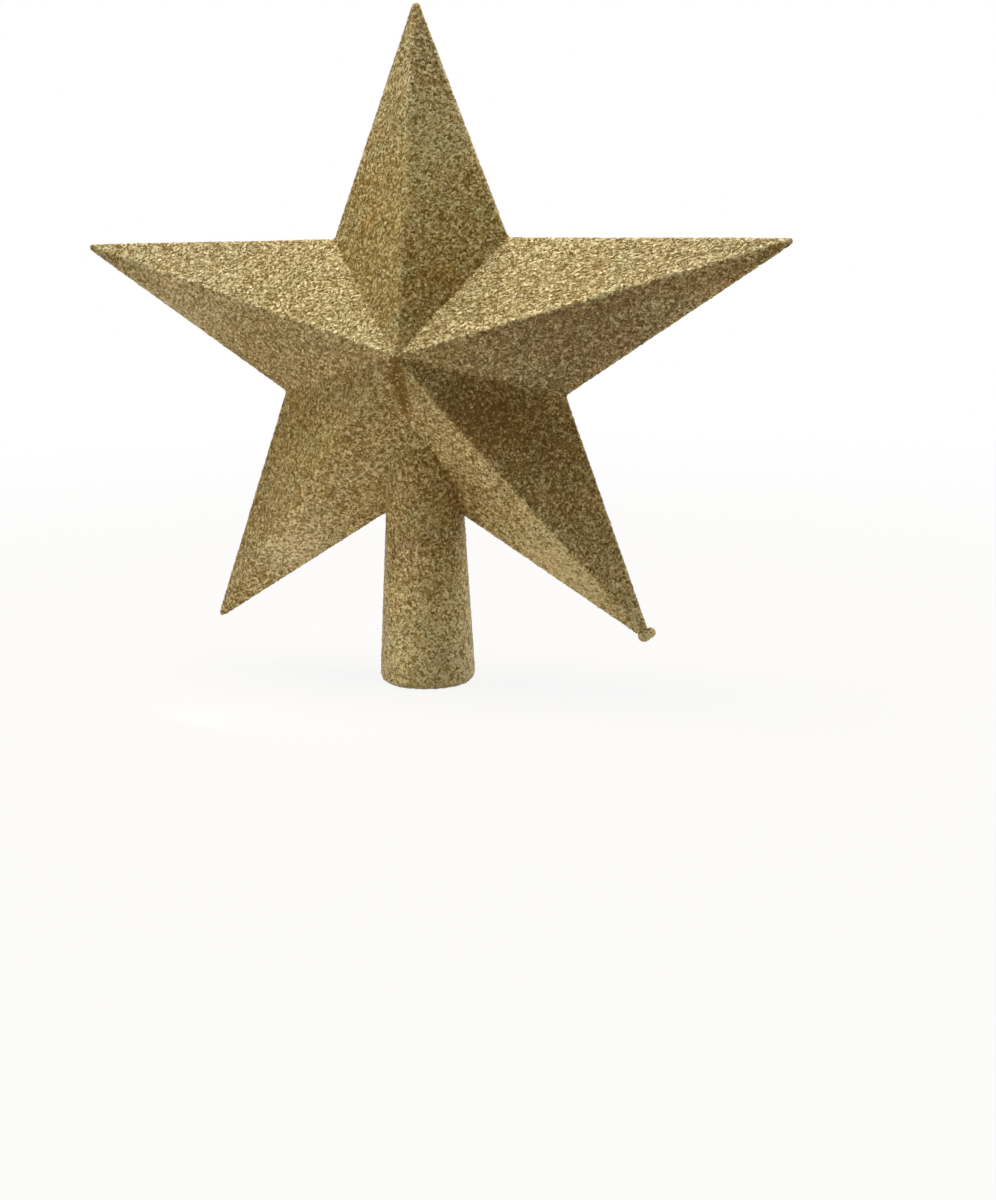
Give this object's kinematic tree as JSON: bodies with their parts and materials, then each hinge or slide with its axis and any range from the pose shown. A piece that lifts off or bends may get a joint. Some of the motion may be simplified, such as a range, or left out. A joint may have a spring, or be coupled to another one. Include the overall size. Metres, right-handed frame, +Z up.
{
  "type": "christmas tree topper star",
  "caption": "Faceted five-armed plastic star with an all-over gold glitter coat, on a tapered socket that slips over the top shoot of a Christmas tree.",
  "frame": {"origin": "centre of the socket's mouth, in the plane of its rim, on the socket's axis", "axes": "+Z up along the socket's axis to the upper arm, the star's front faces -Y, +X to the right seen from the front"},
  "size_m": [0.2064, 0.045, 0.19],
  "materials": {
    "shell_plastic": "injection moulded polystyrene in a dull gold",
    "socket_plastic": "injection moulded polystyrene in a dull gold, bare inside the bore",
    "cement": "clear solvent cement, dried",
    "gold_glitter": "fine metallic gold glitter flakes set in clear lacquer"
  },
  "bodies": {
    "root": {"front_shell": "shell_plastic", "rear_shell": "shell_plastic", "socket_tube": "socket_plastic", "seam_cement": "cement", "neck_cement": "cement", "front_glitter": "gold_glitter", "rear_glitter": "gold_glitter", "socket_glitter": "gold_glitter", "tip_drip": "gold_glitter"}
  },
  "joints": []
}
